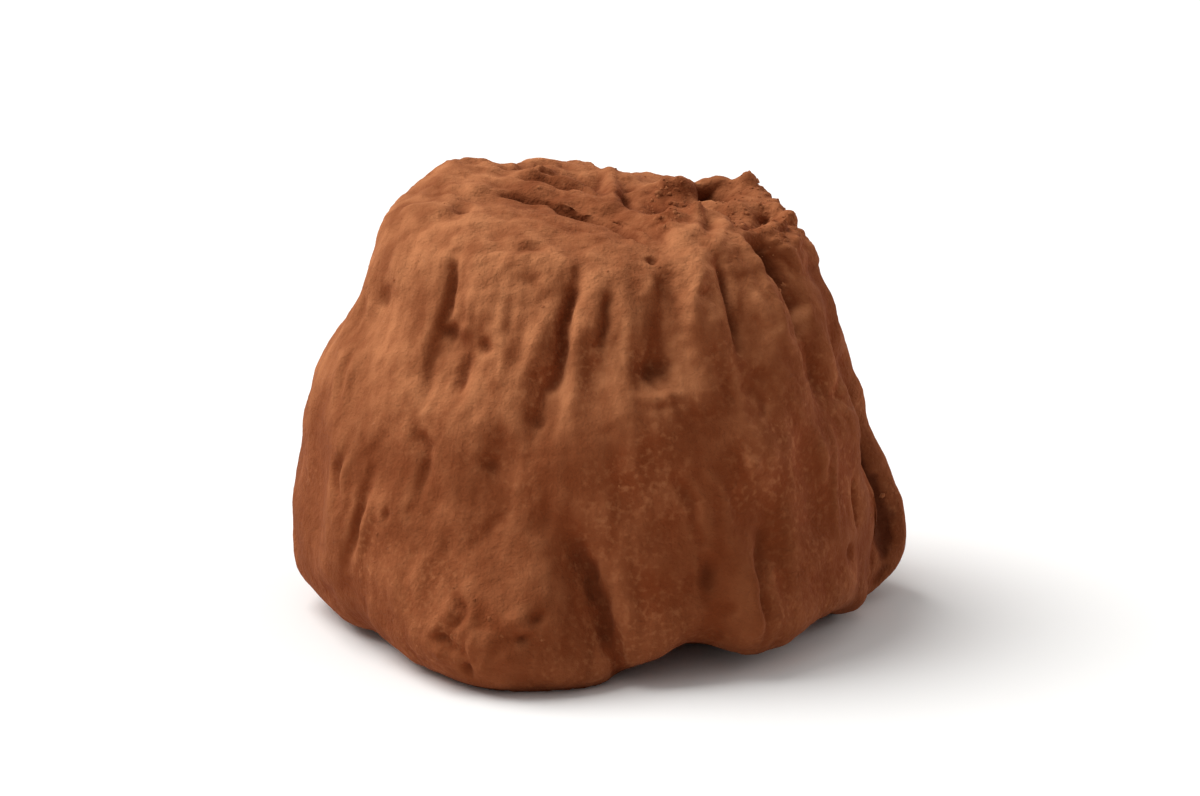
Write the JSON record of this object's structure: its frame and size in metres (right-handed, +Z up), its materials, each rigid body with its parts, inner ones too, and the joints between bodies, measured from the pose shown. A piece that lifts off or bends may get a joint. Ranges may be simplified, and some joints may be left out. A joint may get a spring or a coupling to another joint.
{
  "type": "chocolate truffle",
  "caption": "Hand-dropped chocolate truffle dusted with cocoa: a squat, lobed drop with grooved sides and a sunken, cracked crown.",
  "frame": {"origin": "middle of the truffle's outline, on the table it stands on", "axes": "+Z up from the foot, +X towards the flange of the foot, -Y the front"},
  "size_m": [0.028, 0.0268, 0.02],
  "materials": {
    "cocoa": "matt, powdery"
  },
  "bodies": {
    "root": {"truffle": "cocoa"}
  },
  "joints": []
}
